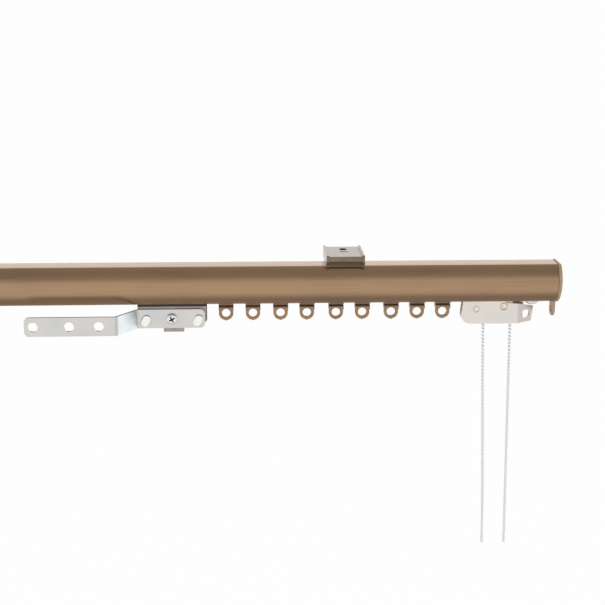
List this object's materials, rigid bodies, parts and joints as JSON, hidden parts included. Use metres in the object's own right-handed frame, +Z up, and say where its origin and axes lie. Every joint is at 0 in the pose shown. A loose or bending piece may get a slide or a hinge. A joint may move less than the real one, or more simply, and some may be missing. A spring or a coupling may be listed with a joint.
{
  "type": "corded curtain track",
  "caption": "Ceiling-fixed bow-fronted rail with ring-eyed gliders, two cord-drawn master carriers with joggled overlap arms, pulley housing and two cord falls.",
  "frame": {"origin": "midway between the two ceiling screw holes, on the top face of the bracket plates", "axes": "+X along the rail towards the cord pulley, +Y away from the room, +Z up"},
  "size_m": [0.8036, 0.0412, 0.2246],
  "materials": {
    "bronze_anodised_aluminium": "bronze anodised, satin, drawn lengthwise",
    "bronze_plastic": "bronze moulded plastic",
    "bronze_painted_steel": "bronze lacquered pressed steel",
    "zinc_plated_steel": "bright zinc plated",
    "die_cast_zinc": "raw die-cast zinc",
    "white_nylon": "natural nylon",
    "brown_moulded_plastic": "brown moulded acetal",
    "braided_cord": "white braided polyester with a fine blue-grey fleck"
  },
  "bodies": {
    "track": {"rail": "bronze_anodised_aluminium", "end_cap_right": "bronze_plastic", "end_cap_left": "bronze_plastic", "bracket_right_body": "bronze_painted_steel", "bracket_right_jaw": "bronze_painted_steel", "bracket_right_screw": "zinc_plated_steel", "bracket_left_body": "bronze_painted_steel", "bracket_left_jaw": "bronze_painted_steel", "bracket_left_screw": "zinc_plated_steel", "pulley_cheek_front": "zinc_plated_steel", "pulley_cheek_back": "zinc_plated_steel", "pulley_axle_near": "zinc_plated_steel", "pulley_axle_far": "zinc_plated_steel", "cord_guide_block": "white_nylon", "pulley_clamp_screw": "zinc_plated_steel", "return_block": "white_nylon", "return_axle": "zinc_plated_steel", "return_clamp_plate": "zinc_plated_steel", "return_clamp_screw": "zinc_plated_steel", "cord_loop": "braided_cord", "cord_fall_near": "braided_cord", "cord_fall_far": "braided_cord"},
    "master_right": {"master_right_casting": "die_cast_zinc", "master_right_shoe": "white_nylon", "master_right_cord_screw": "zinc_plated_steel", "master_right_arm": "zinc_plated_steel", "master_right_arm_screw": "zinc_plated_steel"},
    "master_left": {"master_left_casting": "die_cast_zinc", "master_left_shoe": "white_nylon", "master_left_cord_screw": "zinc_plated_steel", "master_left_arm": "zinc_plated_steel", "master_left_arm_screw": "zinc_plated_steel"},
    "glider_right_1_body": {"glider_right_1": "brown_moulded_plastic"},
    "glider_right_2_body": {"glider_right_2": "brown_moulded_plastic"},
    "glider_right_3_body": {"glider_right_3": "brown_moulded_plastic"},
    "glider_right_4_body": {"glider_right_4": "brown_moulded_plastic"},
    "glider_right_5_body": {"glider_right_5": "brown_moulded_plastic"},
    "glider_right_6_body": {"glider_right_6": "brown_moulded_plastic"},
    "glider_right_7_body": {"glider_right_7": "brown_moulded_plastic"},
    "glider_right_8_body": {"glider_right_8": "brown_moulded_plastic"},
    "glider_right_9_body": {"glider_right_9": "brown_moulded_plastic"},
    "glider_left_1_body": {"glider_left_1": "brown_moulded_plastic"},
    "glider_left_2_body": {"glider_left_2": "brown_moulded_plastic"},
    "glider_left_3_body": {"glider_left_3": "brown_moulded_plastic"},
    "glider_left_4_body": {"glider_left_4": "brown_moulded_plastic"},
    "glider_left_5_body": {"glider_left_5": "brown_moulded_plastic"},
    "glider_left_6_body": {"glider_left_6": "brown_moulded_plastic"},
    "glider_left_7_body": {"glider_left_7": "brown_moulded_plastic"},
    "glider_left_8_body": {"glider_left_8": "brown_moulded_plastic"},
    "glider_left_9_body": {"glider_left_9": "brown_moulded_plastic"},
    "wheel_near_body": {"pulley_wheel_near": "white_nylon"},
    "wheel_far_body": {"pulley_wheel_far": "white_nylon"},
    "wheel_return_body": {"return_wheel": "white_nylon"}
  },
  "joints": [
    {"name": "master_right_slide", "type": "slide", "parent": "track", "child": "master_right", "axis": [1, 0, 0], "range_m": [-0.105, 0.079]},
    {"name": "master_left_slide", "type": "slide", "parent": "track", "child": "master_left", "axis": [1, 0, 0], "range_m": [-0.079, 0.105]},
    {"name": "glider_right_1_slide", "type": "slide", "parent": "track", "child": "glider_right_1_body", "axis": [1, 0, 0], "range_m": [-0.0971, 0.07305]},
    {"name": "glider_right_2_slide", "type": "slide", "parent": "track", "child": "glider_right_2_body", "axis": [1, 0, 0], "range_m": [-0.08649, 0.06507]},
    {"name": "glider_right_3_slide", "type": "slide", "parent": "track", "child": "glider_right_3_body", "axis": [1, 0, 0], "range_m": [-0.07509, 0.05649]},
    {"name": "glider_right_4_slide", "type": "slide", "parent": "track", "child": "glider_right_4_body", "axis": [1, 0, 0], "range_m": [-0.06488, 0.04882]},
    {"name": "glider_right_5_slide", "type": "slide", "parent": "track", "child": "glider_right_5_body", "axis": [1, 0, 0], "range_m": [-0.05201, 0.03914]},
    {"name": "glider_right_6_slide", "type": "slide", "parent": "track", "child": "glider_right_6_body", "axis": [1, 0, 0], "range_m": [-0.04167, 0.03136]},
    {"name": "glider_right_7_slide", "type": "slide", "parent": "track", "child": "glider_right_7_body", "axis": [1, 0, 0], "range_m": [-0.02894, 0.02178]},
    {"name": "glider_right_8_slide", "type": "slide", "parent": "track", "child": "glider_right_8_body", "axis": [1, 0, 0], "range_m": [-0.01873, 0.01409]},
    {"name": "glider_right_9_slide", "type": "slide", "parent": "track", "child": "glider_right_9_body", "axis": [1, 0, 0], "range_m": [-0.00892, 0.00672]},
    {"name": "glider_left_1_slide", "type": "slide", "parent": "track", "child": "glider_left_1_body", "axis": [1, 0, 0], "range_m": [-0.07305, 0.0971]},
    {"name": "glider_left_2_slide", "type": "slide", "parent": "track", "child": "glider_left_2_body", "axis": [1, 0, 0], "range_m": [-0.06507, 0.08649]},
    {"name": "glider_left_3_slide", "type": "slide", "parent": "track", "child": "glider_left_3_body", "axis": [1, 0, 0], "range_m": [-0.05649, 0.07509]},
    {"name": "glider_left_4_slide", "type": "slide", "parent": "track", "child": "glider_left_4_body", "axis": [1, 0, 0], "range_m": [-0.04882, 0.06488]},
    {"name": "glider_left_5_slide", "type": "slide", "parent": "track", "child": "glider_left_5_body", "axis": [1, 0, 0], "range_m": [-0.03914, 0.05201]},
    {"name": "glider_left_6_slide", "type": "slide", "parent": "track", "child": "glider_left_6_body", "axis": [1, 0, 0], "range_m": [-0.03136, 0.04167]},
    {"name": "glider_left_7_slide", "type": "slide", "parent": "track", "child": "glider_left_7_body", "axis": [1, 0, 0], "range_m": [-0.02178, 0.02894]},
    {"name": "glider_left_8_slide", "type": "slide", "parent": "track", "child": "glider_left_8_body", "axis": [1, 0, 0], "range_m": [-0.01409, 0.01873]},
    {"name": "glider_left_9_slide", "type": "slide", "parent": "track", "child": "glider_left_9_body", "axis": [1, 0, 0], "range_m": [-0.00672, 0.00892]},
    {"name": "wheel_near_spin", "type": "hinge", "parent": "track", "child": "wheel_near_body", "pos_m": [0.3442, -0.012, -0.0399], "axis": [0, 1, 0], "range_deg": [-1074.3, 808.3]},
    {"name": "wheel_far_spin", "type": "hinge", "parent": "track", "child": "wheel_far_body", "pos_m": [0.36365, -0.012, -0.038], "axis": [0, 1, 0], "range_deg": [-808.3, 1074.3]},
    {"name": "wheel_return_spin", "type": "hinge", "parent": "track", "child": "wheel_return_body", "pos_m": [-0.375, -0.012, -0.0211], "axis": [0, 1, 0], "range_deg": [-808.3, 1074.3]}
  ],
  "couplings": [
    {"joint": "master_left_slide", "follows": "master_right_slide", "ratio": -1},
    {"joint": "glider_right_1_slide", "follows": "master_right_slide", "ratio": 0.92468},
    {"joint": "glider_right_2_slide", "follows": "master_right_slide", "ratio": 0.82367},
    {"joint": "glider_right_3_slide", "follows": "master_right_slide", "ratio": 0.71506},
    {"joint": "glider_right_4_slide", "follows": "master_right_slide", "ratio": 0.61785},
    {"joint": "glider_right_5_slide", "follows": "master_right_slide", "ratio": 0.49532},
    {"joint": "glider_right_6_slide", "follows": "master_right_slide", "ratio": 0.39684},
    {"joint": "glider_right_7_slide", "follows": "master_right_slide", "ratio": 0.27557},
    {"joint": "glider_right_8_slide", "follows": "master_right_slide", "ratio": 0.17835},
    {"joint": "glider_right_9_slide", "follows": "master_right_slide", "ratio": 0.08494},
    {"joint": "glider_left_1_slide", "follows": "master_right_slide", "ratio": -0.92468},
    {"joint": "glider_left_2_slide", "follows": "master_right_slide", "ratio": -0.82367},
    {"joint": "glider_left_3_slide", "follows": "master_right_slide", "ratio": -0.71506},
    {"joint": "glider_left_4_slide", "follows": "master_right_slide", "ratio": -0.61785},
    {"joint": "glider_left_5_slide", "follows": "master_right_slide", "ratio": -0.49532},
    {"joint": "glider_left_6_slide", "follows": "master_right_slide", "ratio": -0.39684},
    {"joint": "glider_left_7_slide", "follows": "master_right_slide", "ratio": -0.27557},
    {"joint": "glider_left_8_slide", "follows": "master_right_slide", "ratio": -0.17835},
    {"joint": "glider_left_9_slide", "follows": "master_right_slide", "ratio": -0.08494},
    {"joint": "wheel_near_spin", "follows": "master_right_slide", "rad_per_m": 178.57},
    {"joint": "wheel_far_spin", "follows": "master_right_slide", "rad_per_m": -178.57},
    {"joint": "wheel_return_spin", "follows": "master_right_slide", "rad_per_m": -178.57}
  ]
}
